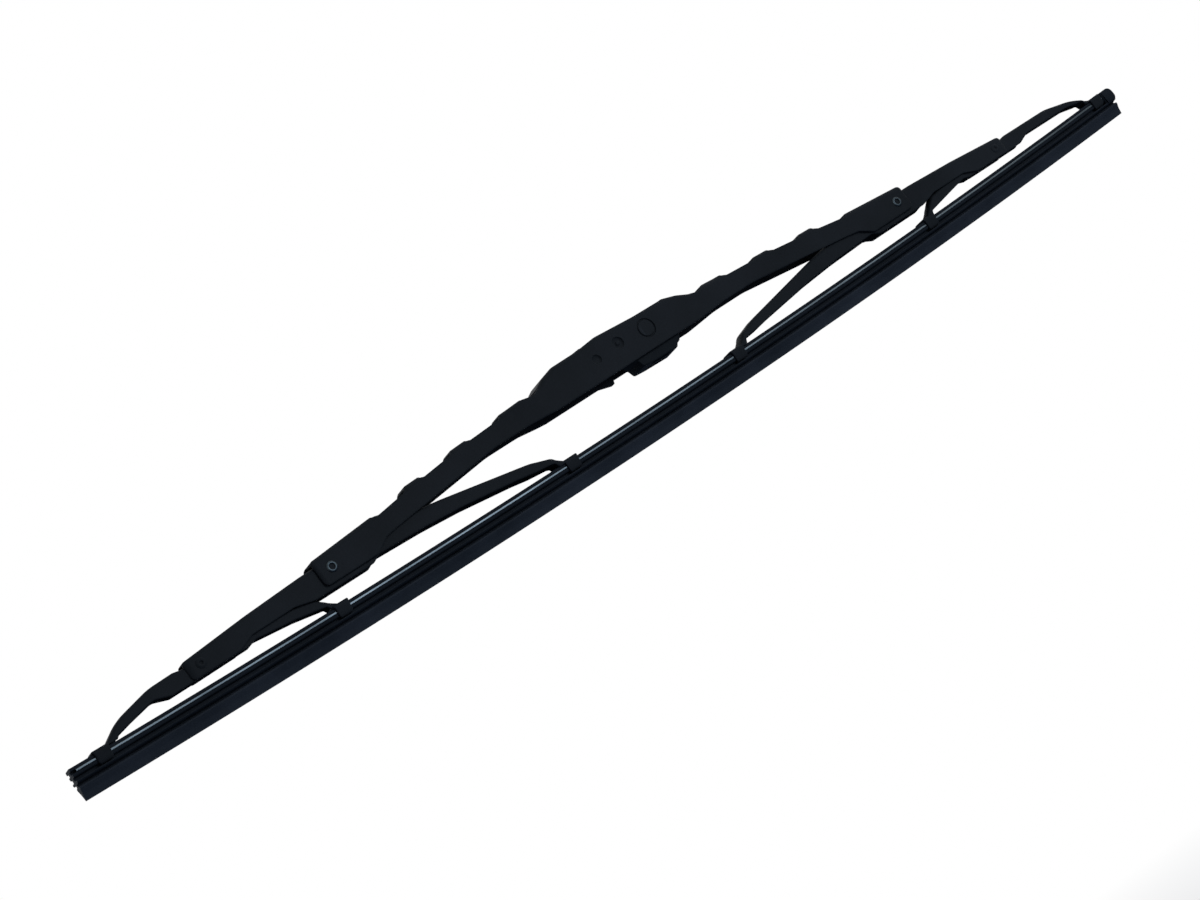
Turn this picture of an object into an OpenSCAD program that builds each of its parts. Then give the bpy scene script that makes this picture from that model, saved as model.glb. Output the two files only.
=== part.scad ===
// A framed wiper blade for a car, with six claws on a rubber strip.
// The origin is the middle of the cross pin's axis.
// +X runs along the blade to the end stop, +Y away from the viewer of the photo, +Z away from the glass.
// An outline is a list of corners [along, height, corner radius].
// Its places along the blade are for a strip of outline_l, and "along" stretches them to blade_l.

/* [Whole blade] */
// Length of the rubber strip with its end stop
blade_l = 551.5; // [400:0.5:700]
// Height of the pin's axis above the strip's heel, in the middle
pin_above_heel = 26.85; // [22:0.1:34]
// Radius of the arc that the heel follows
heel_r = 6200; // [3000:100:20000]
// Where the strip's cut end lies on the outlines
strip_start = -244.5; // [-260:0.1:-240]
// Where the end stop's outer end lies on the outlines
strip_end = 257.65; // [240:0.05:265]

/* [Main bridge] */
// Outer width of the bridge's arms
bridge_w = 11.4; // [10:0.1:14]
// Outer width of the hump
hump_w = 15; // [13:0.1:20]
// Thickness of the bridge's sheet
bridge_t = 1.1; // [0.8:0.1:1.5]
// Height of the straight lower edge under the hump
hump_bottom = -9.3; // [-12:0.1:-6]
// Depth of the pressed marks on the hump
mark_depth = 0.35; // [0.1:0.05:0.5]

/* [Levers] */
// Place of the main rivets on the outlines
main_rivet_x = 136.4; // [120:0.1:150]
// Height of the main rivets
main_rivet_z = -12.35; // [-14:0.05:-10]
// Place of the tertiary rivets on the outlines
tertiary_rivet_x = 191; // [180:0.1:200]
// Height of the tertiary rivets
tertiary_rivet_z = -15.6; // [-17:0.05:-14]
// Outer width of the secondary levers
secondary_w = 8.4; // [8:0.1:8.8]
// Thickness of the secondary levers' sheet
secondary_t = 1; // [0.8:0.1:1.2]
// Outer width of the tertiary levers
tertiary_w = 5.7; // [5:0.1:6]
// Thickness of the tertiary levers' sheet
tertiary_t = 0.9; // [0.7:0.1:1.2]
// Place of the secondary levers' claws on the outlines
secondary_claw_x = 40.6; // [30:0.1:50]
// Places of the left tertiary lever's claws on the outlines
left_claws = [140.6, 232.9];
// Places of the right tertiary lever's claws on the outlines
right_claws = [145.5, 247.6];
// Heights of the bend in each tertiary lever's outer arm, left and right
elbow_z = [-16.05, -15.7];
// Heights of the two lower corners of each outer arm, from the claw inward, left and right
arm_under = [[-20.4, -18.8], [-18.7, -17.3]];

/* [Rivets and liners] */
// Radius of the rivets' shanks
rivet_r = 1.5; // [1:0.05:2]
// Radius of the hollow in the main rivets
rivet_hollow_r = 1.05; // [0.5:0.05:1.2]
// Radius of the main rivets' rolled rims
rivet_rim_r = 2.2; // [1.8:0.05:3]
// Height of the main rivets' rolled rims
rivet_rim_t = 0.5; // [0.2:0.05:1]
// Gap between a rivet and the hole that turns on it
running_gap = 0.05; // [0.01:0.01:0.1]
// Thickness of the liners
liner_t = 0.3; // [0.2:0.05:0.5]

/* [Pin and adapter] */
// Radius of the cross pin between the hump's walls
pin_r = 2.4; // [2:0.1:3]
// Radius of the pin's turned-down ends
pin_end_r = 1.5; // [1:0.1:2]
// Gap between the adapter and the hump's walls, on each side
adapter_gap = 0.2; // [0.1:0.05:0.5]
// Height of the adapter's flat top
adapter_top = 3.4; // [2:0.1:4]

/* [Rubber strip] */
// Half the width of the heel
heel_half = 2.8; // [2.5:0.1:3.5]
// Depth of the rail slots' upper side under the heel's top
slot_top = 1.15; // [0.8:0.05:1.6]
// Height of the rail slots
slot_h = 1.1; // [0.8:0.05:1.4]
// Height of the flange under the rails, which the claws grip
flange_h = 1.2; // [0.8:0.05:1.6]
// Half the width of the core between the rails
core_half = 1.1; // [0.8:0.1:1.5]
// Depth of the lip's edge under the heel's top
lip_depth = 11.9; // [9:0.1:14]
// Half the width of the shoulder over the neck
shoulder_half = 3.4; // [3:0.1:4]
// Half the thickness of the lip's edge
lip_half = 0.35; // [0.2:0.05:0.6]
// Length of the end stop on the outlines
stop_l = 6.45; // [4:0.05:10]
// Radius of the end stop's rounded end
stop_r = 2.4; // [1:0.1:3]

/* [Claws] */
// Length of the claws' jaws
jaw_l = 5.8; // [4:0.1:8]
// Gap between claw and rubber
claw_gap = 0.1; // [0.05:0.01:0.2]
// Thickness of the claws' sheet
claw_t = 0.85; // [0.6:0.05:1.2]
// Half the width between the jaws
jaw_half = 3.05; // [2.9:0.05:3.6]
// How far the jaws' tips reach down from the heel's top
jaw_depth = 4.4; // [4:0.1:5]
// Half the gap between the two tips of a claw
tip_half = 1.9; // [1.5:0.1:2.5]

/* [Hidden] */
outline_l = strip_end - strip_start;
stretch = blade_l / outline_l;
heel_centre_z = heel_r - pin_above_heel;
slot_bottom = slot_top + slot_h;
flange_bottom = slot_bottom + flange_h;
jaw_top_inside = flange_bottom + claw_gap;
bridge_in = bridge_w / 2 - bridge_t;
hump_in = hump_w / 2 - bridge_t;
adapter_w = 2 * (hump_in - adapter_gap);
secondary_in = secondary_w / 2 - secondary_t;
tertiary_in = tertiary_w / 2 - tertiary_t;
// Length of a cutting tool that has to reach past the part
beyond = 40;
// Windows in the bridge's top, as [start, end] on the outlines
arm_windows = [[36.5, 43.7], [53.9, 69.2], [77, 91.3], [98.9, 114.2]];
hook_window = [-13, 24.6];
steel = [0.11, 0.12, 0.125];
moulded = [0.09, 0.09, 0.095];
rail_steel = [0.32, 0.33, 0.34];
rubber = [0.06, 0.06, 0.065];
$fn = 48;

// Helpers for outlines

function unit(v) = v / norm(v);

// Stretches outline corners along the blade.
function along(corners) = [for (c = corners) [c[0] * stretch, c[1], c[2]]];

// Mirrors outline corners and turns their order round.
function mirrored(corners) =
    let (n = len(corners) - 1)
    [for (i = [0 : n]) [-corners[n - i][0], corners[n - i][1], corners[n - i][2]]];

// Moves outline corners down, without rounding.
function lowered(corners, by) = [for (c = corners) [c[0], c[1] - by, 0]];

// Brings an angle between -180 and 180 degrees.
function wrapped(a) = a > 180 ? a - 360 : a < -180 ? a + 360 : a;

// The points of a rounded corner b between a and c.
function fillet(a, b, c, r, steps = 5) =
    let (u = unit(a - b), v = unit(c - b))
    let (half = acos(max(-1, min(1, u * v))) / 2)
    r < 0.01 || half > 89 ? [b] :
    let (reach = min(r / tan(half), 0.48 * norm(a - b), 0.48 * norm(c - b)))
    let (rr = reach * tan(half), m = b + unit(u + v) * rr / sin(half))
    let (s = b + u * reach - m, e = b + v * reach - m)
    let (a0 = atan2(s[1], s[0]), turn = wrapped(atan2(e[1], e[0]) - a0))
    [for (i = [0 : steps]) m + rr * [cos(a0 + turn * i / steps), sin(a0 + turn * i / steps)]];

// Turns outline corners into points, with their corners rounded.
function rounded(corners) =
    let (n = len(corners))
    [for (i = [0 : n - 1])
        let (p = corners[(i + n - 1) % n], q = corners[i], s = corners[(i + 1) % n])
        each fillet([p[0], p[1]], [q[0], q[1]], [s[0], s[1]], q[2])];

// Height of the strip's heel at a place x in millimetres.
function heel_z(x) = heel_centre_z - sqrt(heel_r * heel_r - x * x);

// A side view, in X and Z, given the width w along Y.
module side_plate(corners, w) {
    rotate([90, 0, 0])
        linear_extrude(w, center = true)
            polygon(rounded(corners));
}

// A round bar of radius r and length l along Y at x, z.
module cross_bar(x, z, r, l) {
    translate([x, 0, z])
        rotate([90, 0, 0])
            cylinder(r = r, h = l, center = true);
}

// The place on the outlines that lies mm millimetres from x, whatever the stretch.
function beside(x, mm) = x + mm / stretch;

// Height over the heel, at a place on the outlines.
function over_heel(x, height) = heel_z(x * stretch) + height;

// Puts a child made at the origin on the strip's heel at x, turned to lie along it.
module on_strip(x) {
    translate([x, 0, heel_z(x)])
        rotate([0, -asin(x / heel_r), 0])
            children();
}

// Sweeps a cross-section along the heel's arc from x0 to x1. Its x is the depth under the heel's top.
module along_strip(x0, x1) {
    a0 = asin(x0 / heel_r);
    a1 = asin(x1 / heel_r);
    translate([0, 0, heel_centre_z])
        rotate([90, 0, 0])
            rotate([0, 0, a0 - 90])
                rotate_extrude(angle = a1 - a0, $fn = 1800)
                    translate([heel_r, 0])
                        children();
}

// One claw around the strip's head: a C open downward, with tips that tuck under the rails.
module claw(x) {
    outer = jaw_half + claw_t;
    top = claw_gap + claw_t;
    half = [[0, top], [outer - 0.5, top], [outer, top - 0.5],
            [outer, 0.4 - jaw_depth], [outer - 0.4, -jaw_depth], [tip_half, -jaw_depth],
            [tip_half, -jaw_top_inside], [jaw_half, -jaw_top_inside], [jaw_half, claw_gap], [0, claw_gap]];
    on_strip(x)
        rotate([90, 0, 90])
            for (side = [0, 1])
                mirror([side, 0])
                    linear_extrude(jaw_l, center = true)
                        polygon(half);
}

// The foot on a claw's top, a little longer than the jaws.
module claw_foot(x) {
    on_strip(x)
        translate([0, 0, claw_gap + claw_t / 2])
            cube([jaw_l + 1.2, 2 * jaw_half, claw_t], center = true);
}

// Main bridge

// Upper and outer edge of one arm, from the hump's foot to the end and back under the arm.
arm_top = [[39.5, 0.3, 2.5], [44, 2.1, 1.5], [53.2, 1.75, 1], [55.1, 0.2, 1.5], [68.3, -0.5, 1.5],
           [69.9, 0.5, 0.8], [76.2, 0.2, 1], [78.2, -1.4, 1.5], [90.6, -2.8, 1.5], [92, -1.6, 0.8],
           [97.9, -1.8, 1.2], [100, -3.85, 2], [112.2, -5.65, 1.5], [114.8, -4.6, 1]];
arm_end = [[142, -6.7, 1.8], [142.3, -17.55, 2.2]];
arm_bottom = [[120.3, -17.65, 3], [114.2, -14, 4], [109, -13.2, 8], [62.5, -8.05, 40], [47.5, -8.1, 12],
              [34.5, hump_bottom, 6]];
// Upper edge of the hump, from left to right
hump_top = [[-32.7, 4.15, 6], [-26.8, 6, 6], [-16.5, 6.1, 3], [-6, 7.25, 12], [12, 6.05, 20], [26, 5.8, 7],
            [31.8, 4.05, 8]];
// Under side of the top sheet, which the windows cut through
arm_ceiling = [[43.5, 0.98, 0], [53.5, 0.65, 0], [69.5, -0.6, 0], [76.5, -0.95, 0], [91.7, -2.7, 0],
               [98.5, -2.95, 0], [114.4, -5.72, 0], [143, -7.88, 0]];

// Half the width of the bridge, less inset, as a plan outline that narrows beside the hump.
function bridge_plan(inset) =
    let (wide = hump_w / 2 - inset, slim = bridge_w / 2 - inset)
    [[-150, -slim, 0], [-50, -slim, 14], [-39, -wide, 14], [39, -wide, 14], [50, -slim, 14], [150, -slim, 0],
     [150, slim, 0], [50, slim, 14], [39, wide, 14], [-39, wide, 14], [-50, slim, 14], [-150, slim, 0]];

module bridge_outline(w) {
    right = concat(arm_top, arm_end, arm_bottom);
    corners = concat(hump_top, right, mirrored(right));
    side_plate(along(corners), w);
}

module bridge_hollow(w) {
    side = concat(arm_ceiling, [[143, -30, 0]]);
    corners = concat(lowered(hump_top, bridge_t), side, mirrored(side));
    side_plate(along(corners), w);
}

module plan_prism(inset) {
    translate([0, 0, -beyond])
        linear_extrude(2 * beyond)
            polygon(rounded(along(bridge_plan(inset))));
}

module bridge_window(x0, x1, half_w) {
    translate([x0 * stretch, -half_w, -7])
        cube([(x1 - x0) * stretch, 2 * half_w, 20]);
}

// Small lug on the far skirt's lower edge.
module skirt_lug() {
    corners = [[-9.9, hump_bottom + 0.5, 0], [-9.9, hump_bottom, 0], [-4.4, hump_bottom - 1.5, 0.6],
               [-3.2, hump_bottom - 1.3, 0.3], [-2.8, hump_bottom + 0.5, 0]];
    translate([0, hump_in + bridge_t / 2, 0])
        side_plate(along(corners), bridge_t);
}

module main_bridge() {
    color(steel)
        difference() {
            union() {
                intersection() {
                    bridge_outline(hump_w + beyond);
                    plan_prism(0);
                }
                skirt_lug();
            }
            intersection() {
                bridge_hollow(hump_w + beyond);
                plan_prism(bridge_t);
            }
            for (w = arm_windows) {
                bridge_window(w[0], w[1], w[0] < 40 ? hump_in - 0.9 : bridge_in);
                bridge_window(-w[1], -w[0], w[0] < 40 ? hump_in - 0.9 : bridge_in);
            }
            bridge_window(hook_window[0], hook_window[1], hump_in);
            cross_bar(0, 0, pin_end_r, beyond);
            for (side = [-1, 1]) {
                cross_bar(side * main_rivet_x * stretch, main_rivet_z, rivet_r, beyond);
                translate([0, side * hump_w / 2, 0]) {
                    cross_bar(0, 0, 2.4, 2 * mark_depth);
                    cross_bar(-10.9 * stretch, -1.1, 2.3, 2 * mark_depth);
                }
            }
            pressed_ring();
        }
}

// Thin pressed ring on the near wall of the hump, with nothing in it.
module pressed_ring() {
    translate([13.1 * stretch, -hump_w / 2, -0.9])
        rotate([90, 0, 0])
            difference() {
                cylinder(r = 3.95, h = mark_depth, center = true);
                cylinder(r = 3.55, h = 2 * mark_depth, center = true);
            }
}

// Pin and adapter

module cross_pin() {
    color(steel) {
        cross_bar(0, 0, pin_r, 2 * hump_in);
        cross_bar(0, 0, pin_end_r, hump_w - 2 * mark_depth);
        for (side = [-1, 1])
            translate([0, side * (hump_w - mark_depth) / 2, 0])
                cross_bar(0, 0, pin_end_r + 0.3, mark_depth);
    }
}

module adapter() {
    corners = [[-4.6, adapter_top, 1.5], [21.2, adapter_top, 1.5], [23, -9.6, 0.8], [21.7, -11.3, 0.6],
               [19.4, -11.6, 0.6], [17.7, -13.3, 0.8], [8, -12.4, 3], [5, -9.5, 3], [-5.2, -3, 3]];
    color(moulded)
        difference() {
            side_plate(along(corners), adapter_w);
            cross_bar(0, 0, pin_r + running_gap, beyond);
            adapter_pocket();
        }
}

// Pocket in the adapter's under side, which leaves walls and a middle rib.
module adapter_pocket() {
    for (side = [-1, 1])
        translate([10.5 * stretch, side * 2.9, -9.5])
            cube([15, 3.8, 9], center = true);
}

// Secondary levers, made for the right side

secondary_nose = over_heel(secondary_claw_x, 0.6);
secondary_top = [[beside(secondary_claw_x, 2.4), secondary_nose, 1],
                 [beside(secondary_claw_x, 6.8), secondary_nose + 4, 2.5],
                 [54, -19.8, 20], [90, -12.75, 40], [112, -9.2, 20], [121, -8.85, 20],
                 [147, -8.85, 20], [170, -9.9, 40], [195.9, -11.85, 1.4]];
secondary_bottom = [[196.7, -19.6, 1.8], [178, -19.6, 2], [171.5, -17.1, 4], [154.5, -17.1, 6],
                    [147, -19.1, 3], [123, -19.3, 2], [119.3, -17.5, 3], [100, -18.35, 15], [84, -19.6, 20],
                    [60, -22.45, 15], [51.8, -23.7, 3],
                    [beside(secondary_claw_x, 7.9), secondary_nose + 0.65, 1.5],
                    [beside(secondary_claw_x, 4.8), secondary_nose + 0.15, 0.5]];
secondary_hollow = [[beside(secondary_claw_x, 4.1), secondary_nose - 1.6, 0],
                    [beside(secondary_claw_x, 8.3), secondary_nose + 2.85, 0],
                    [54.2, -20.85, 0], [90.2, -13.8, 0], [112.2, -10.25, 0], [121, -9.9, 0], [147, -9.9, 0],
                    [170, -10.95, 0], [198, -13.1, 0], [198, -32, 0],
                    [beside(secondary_claw_x, 4.1), -32, 0]];

module secondary_lever() {
    difference() {
        side_plate(along(concat(secondary_top, secondary_bottom)), secondary_w);
        side_plate(along(secondary_hollow), 2 * secondary_in);
        cross_bar(main_rivet_x * stretch, main_rivet_z, rivet_r + running_gap, beyond);
        cross_bar(tertiary_rivet_x * stretch, tertiary_rivet_z, rivet_r, beyond);
    }
    claw(secondary_claw_x * stretch);
    claw_foot(secondary_claw_x * stretch);
}

module secondary_lever_right() {
    color(steel) secondary_lever();
}

module secondary_lever_left() {
    color(steel) mirror([1, 0, 0]) secondary_lever();
}

// Tertiary levers, made for the right side from the places of their two claws

function tertiary_top(xi, xo, elbow) =
    [[xi + 0.4, over_heel(xi, 0.95), 0.8], [xi + 7.4, -17.7, 2.5], [174, -13.8, 10], [178, -13.4, 5],
     [197.2, -13.4, 1], [200, -12.75, 2], [xo - 23.5, -12.85, 26], [xo - 9.4, elbow, 22],
     [xo - 0.6, over_heel(xo, 0.95), 0.8]];

function tertiary_bottom(xi, xo, under) =
    [[xo - 3.2, over_heel(xo, 0.4), 0.4], [xo - 6.4, under[0], 8], [xo - 14, under[1], 18], [210, -17.2, 5],
     [204.2, -19.45, 2], [173.6, -19.65, 1.5], [171, -18.8, 2], [xi + 15.5, -20.25, 12],
     [xi + 7.2, -21.75, 3],
     [xi + 2.8, over_heel(xi, 0.4), 0.4]];

module tertiary_lever(xi, xo, elbow, under) {
    top = tertiary_top(xi, xo, elbow);
    n = len(top);
    inner = [top[0][0] + 1.3, top[0][1] - 0.9, 0];
    outer = [top[n - 1][0] - 1.3, top[n - 1][1] - 0.9, 0];
    middle = [for (i = [2 : n - 3]) [top[i][0], top[i][1] - tertiary_t, 0]];
    bends = [[top[1][0] + 0.6, top[1][1] - 1.15, 0], [top[n - 2][0] - 0.4, top[n - 2][1] - 1.1, 0]];
    hollow = concat([[inner[0], -32, 0], inner, bends[0]], middle, [bends[1], outer, [outer[0], -32, 0]]);
    difference() {
        side_plate(along(concat(top, tertiary_bottom(xi, xo, under))), tertiary_w);
        side_plate(along(hollow), 2 * tertiary_in);
        cross_bar(tertiary_rivet_x * stretch, tertiary_rivet_z, rivet_r + running_gap, beyond);
    }
    for (x = [xi, xo]) {
        claw(x * stretch);
        claw_foot(x * stretch);
    }
}

module tertiary_lever_right() {
    color(steel) tertiary_lever(right_claws[0], right_claws[1], elbow_z[1], arm_under[1]);
}

module tertiary_lever_left() {
    color(steel)
        mirror([1, 0, 0])
            tertiary_lever(left_claws[0], left_claws[1], elbow_z[0], arm_under[0]);
}

// Rivets

module main_rivet(side) {
    x = side * main_rivet_x * stretch;
    color(rail_steel)
        difference() {
            union() {
                cross_bar(x, main_rivet_z, rivet_r, bridge_w);
                for (y = [-1, 1])
                    translate([0, y * (bridge_w + rivet_rim_t) / 2, 0])
                        cross_bar(x, main_rivet_z, rivet_rim_r, rivet_rim_t);
            }
            cross_bar(x, main_rivet_z, rivet_hollow_r, beyond);
        }
}

module tertiary_rivet(side) {
    x = side * tertiary_rivet_x * stretch;
    color(steel) {
        cross_bar(x, tertiary_rivet_z, rivet_r, secondary_w);
        for (y = [-1, 1])
            translate([0, y * (secondary_w + 0.4) / 2, 0])
                cross_bar(x, tertiary_rivet_z, 1.9, 0.4);
    }
}

module main_rivet_left() main_rivet(-1);
module main_rivet_right() main_rivet(1);
module tertiary_rivet_left() tertiary_rivet(-1);
module tertiary_rivet_right() tertiary_rivet(1);

// Liners, thin saddles that hug the inner lever

// Side plates over the places x and heights z, and a cap over a lever of width lever_w.
module saddle(x, z, cap, lever_w, rivet) {
    sides = [[x[0], z[1], 2], [x[1], z[1], 2], [x[1], z[0], 2], [x[0], z[0], 2]];
    top = z[1] + liner_t;
    for (side = [-1, 1])
        translate([0, side * (lever_w + liner_t) / 2, 0])
            difference() {
                side_plate(along(sides), liner_t);
                cross_bar(rivet[0] * stretch, rivet[1], rivet_r + 0.1, 4);
            }
    side_plate(along([[cap[0], top, 0], [cap[1], top, 0], [cap[1], z[1], 0], [cap[0], z[1], 0]]),
               lever_w + 2 * liner_t);
}

module main_liner() {
    x = main_rivet_x;
    saddle([x - 14.4, x + 5], [-17.8, -8.85], [x - 11.4, x + 2.1], secondary_w, [x, main_rivet_z]);
}

module tertiary_liner() {
    x = tertiary_rivet_x;
    saddle([x - 13, x + 4], [-18.6, -13.4], [x - 10, x + 2.5], tertiary_w, [x, tertiary_rivet_z]);
}

module main_liner_right() {
    color(moulded) main_liner();
}

module main_liner_left() {
    color(moulded) mirror([1, 0, 0]) main_liner();
}

module tertiary_liner_right() {
    color(moulded) tertiary_liner();
}

module tertiary_liner_left() {
    color(moulded) mirror([1, 0, 0]) tertiary_liner();
}

// Rubber strip and rails

// Half of the strip's cross-section with the rails' slots, as [depth under the heel, half width].
rubber_half = [[0, heel_half - 0.6], [0.6, heel_half], [slot_top, heel_half], [slot_top, core_half],
               [slot_bottom, core_half], [slot_bottom, heel_half], [flange_bottom - 0.3, heel_half - 0.2],
               [flange_bottom, heel_half - 0.5], [flange_bottom, 1], [4.6, 1],
               [4.8, shoulder_half - 0.2], [5.2, shoulder_half], [5.6, shoulder_half - 0.5],
               [6, 0.6], [6.5, 0.6], [6.8, 2], [7.4, 2.1], [9.4, 0.95],
               [lip_depth - 0.3, lip_half], [lip_depth, lip_half]];

module rubber_section() {
    other = [for (i = [len(rubber_half) - 1 : -1 : 0]) [rubber_half[i][0], -rubber_half[i][1]]];
    polygon(concat(rubber_half, other));
}

// The end stop closes the head of the strip over the rails' ends.
module end_stop() {
    half = stop_l * stretch / 2;
    middle = strip_end * stretch - half;
    corners = [[-half, 0.75, 0.5], [half, 0.75, stop_r], [half, -4.7, stop_r], [-half, -4.7, 0.3]];
    on_strip(middle)
        side_plate(corners, 2 * heel_half + 1);
}

module wiper_rubber() {
    color(rubber) {
        along_strip(strip_start * stretch, (strip_end - 1.3) * stretch)
            rubber_section();
        end_stop();
    }
}

// One rail in its slot, ending where the end stop begins.
module rail(side) {
    inner = side > 0 ? core_half + 0.05 : -heel_half - 0.1;
    color(rail_steel)
        along_strip(strip_start * stretch, (strip_end - stop_l) * stretch - 0.2)
            translate([slot_top + 0.03, inner])
                square([slot_h - 0.06, heel_half + 0.05 - core_half]);
}

module rail_front() rail(1);
module rail_back() rail(-1);

main_bridge();
cross_pin();
adapter();
secondary_lever_left();
secondary_lever_right();
tertiary_lever_left();
tertiary_lever_right();
main_rivet_left();
main_rivet_right();
tertiary_rivet_left();
tertiary_rivet_right();
main_liner_left();
main_liner_right();
tertiary_liner_left();
tertiary_liner_right();
wiper_rubber();
rail_front();
rail_back();
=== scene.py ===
"""Dresses a framed wiper blade: pressed steel levers, rivets, a moulded adapter and a rubber strip on steel rails.

Lengths are in millimetres in the classes and in metres in Blender. +X runs along the blade to the end stop, +Y
away from the viewer of the photograph, +Z away from the glass. The origin is the middle of the cross pin.
"""

from __future__ import annotations

import logging
import math
from bisect import bisect_right
from dataclasses import dataclass, field, replace
from enum import Enum
from typing import Any, Callable

import bpy
from mathutils import Matrix, Vector

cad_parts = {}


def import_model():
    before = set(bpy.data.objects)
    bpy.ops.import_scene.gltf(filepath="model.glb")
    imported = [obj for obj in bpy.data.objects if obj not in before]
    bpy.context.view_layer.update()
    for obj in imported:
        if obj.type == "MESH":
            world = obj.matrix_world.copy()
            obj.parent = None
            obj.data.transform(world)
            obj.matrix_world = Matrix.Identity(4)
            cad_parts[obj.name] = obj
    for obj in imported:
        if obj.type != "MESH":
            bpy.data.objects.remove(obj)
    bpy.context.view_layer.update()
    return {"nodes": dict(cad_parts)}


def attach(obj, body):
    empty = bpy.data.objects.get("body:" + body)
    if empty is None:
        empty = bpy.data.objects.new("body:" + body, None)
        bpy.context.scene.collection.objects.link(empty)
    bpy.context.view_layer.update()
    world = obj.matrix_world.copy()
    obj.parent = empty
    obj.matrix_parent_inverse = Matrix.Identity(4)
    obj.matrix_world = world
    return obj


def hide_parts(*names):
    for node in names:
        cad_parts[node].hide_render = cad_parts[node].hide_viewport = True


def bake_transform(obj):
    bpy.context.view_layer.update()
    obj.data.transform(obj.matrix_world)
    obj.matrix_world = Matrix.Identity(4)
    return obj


LOG = logging.getLogger("wiper_blade")

MM = 0.001
BLADE_LENGTH = 551.5
OUTLINE_LENGTH = 502.15
STRETCH = BLADE_LENGTH / OUTLINE_LENGTH
HEEL_RADIUS = 6200.0
PIN_ABOVE_HEEL = 26.85
HEEL_CENTRE = HEEL_RADIUS - PIN_ABOVE_HEEL

Point = tuple[float, float]
Corner = tuple[float, float, float]
Colour = tuple[float, float, float, float]


class Side(Enum):
    """The two ends of the blade, as the sign of X."""

    LEFT = -1
    RIGHT = 1

    @property
    def word(self) -> str:
        """The side's word in node and body names."""
        return self.name.lower()


# Outlines and curves


def heel_z(x: float) -> float:
    """Height of the strip's heel at a place along the blade.

    Args:
        x: Place along the blade, in millimetres.

    Returns:
        The height in millimetres.
    """
    return HEEL_CENTRE - math.sqrt(HEEL_RADIUS**2 - x * x)


def over_heel(place: float, height: float) -> float:
    """Height of a point over the heel, at a place on the outlines."""
    return heel_z(place * STRETCH) + height


def beside(place: float, distance: float) -> float:
    """Place on the outlines that lies a real distance from another place."""
    return place + distance / STRETCH


def fillet(before: Point, corner: Point, after: Point, radius: float, steps: int = 6) -> list[Point]:
    """Rounds one corner of an outline.

    Args:
        before: Point before the corner.
        corner: The corner.
        after: Point after the corner.
        radius: Radius of the arc; it shrinks where the sides are short.
        steps: Number of chords in the arc.

    Returns:
        The points of the arc, or the corner alone.
    """
    b = Vector(corner)
    u = Vector(before) - b
    v = Vector(after) - b
    if radius < 0.01 or u.length < 1e-6 or v.length < 1e-6:
        return [corner]
    reach_limit = 0.48 * min(u.length, v.length)
    u.normalize()
    v.normalize()
    half = math.acos(max(-1.0, min(1.0, u.dot(v)))) / 2
    if half > math.radians(89.2) or half < math.radians(2):
        return [corner]
    reach = min(radius / math.tan(half), reach_limit)
    real_radius = reach * math.tan(half)
    centre = b + (u + v).normalized() * (real_radius / math.sin(half))
    start = b + u * reach - centre
    end = b + v * reach - centre
    first = math.atan2(start.y, start.x)
    turn = math.atan2(end.y, end.x) - first
    turn = (turn + math.pi) % (2 * math.pi) - math.pi
    angles = [first + turn * i / steps for i in range(steps + 1)]
    return [(centre.x + real_radius * math.cos(a), centre.y + real_radius * math.sin(a)) for a in angles]


def rounded(corners: list[Corner], closed: bool = False, steps: int = 6) -> list[Point]:
    """Turns corners with radii into the points of a rounded outline.

    Args:
        corners: Corners as (along, height, radius).
        closed: Whether the last corner joins the first.
        steps: Number of chords in each arc.

    Returns:
        The outline's points.
    """
    count = len(corners)
    points: list[Point] = []
    for i, (x, z, radius) in enumerate(corners):
        if not closed and i in (0, count - 1):
            points.append((x, z))
            continue
        before = corners[i - 1]
        after = corners[(i + 1) % count]
        points += fillet((before[0], before[1]), (x, z), (after[0], after[1]), radius, steps)
    return points


def along(corners: list[Corner]) -> list[Corner]:
    """Stretches outline corners to the blade's real length."""
    return [(x * STRETCH, z, r) for x, z, r in corners]


def mirrored(corners: list[Corner]) -> list[Corner]:
    """Mirrors outline corners to the other end and turns their order round."""
    return [(-x, z, r) for x, z, r in reversed(corners)]


class Curve:
    """A height or a width that changes along the blade."""

    def __init__(self, points: list[Point]) -> None:
        """Keeps the points in order of X.

        Args:
            points: Points as (x, value), with X rising.
        """
        self.xs: list[float] = []
        self.values: list[float] = []
        for x, value in points:
            if not self.xs or x > self.xs[-1] + 1e-6:
                self.xs.append(x)
                self.values.append(value)

    @classmethod
    def from_corners(cls, corners: list[Corner], steps: int = 6) -> "Curve":
        """Makes a curve from stretched and rounded outline corners."""
        return cls(rounded(along(corners), steps=steps))

    @classmethod
    def level(cls, value: float) -> "Curve":
        """Makes a curve with the same value everywhere."""
        return cls([(-1000.0, value), (1000.0, value)])

    def at(self, x: float) -> float:
        """Value at x, held level past either end."""
        if x <= self.xs[0]:
            return self.values[0]
        if x >= self.xs[-1]:
            return self.values[-1]
        i = bisect_right(self.xs, x) - 1
        share = (x - self.xs[i]) / (self.xs[i + 1] - self.xs[i])
        return self.values[i] + share * (self.values[i + 1] - self.values[i])

    def slope(self, x: float) -> float:
        """Slope at x, over a millimetre."""
        return self.at(x + 0.5) - self.at(x - 0.5)


# Meshes


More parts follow.
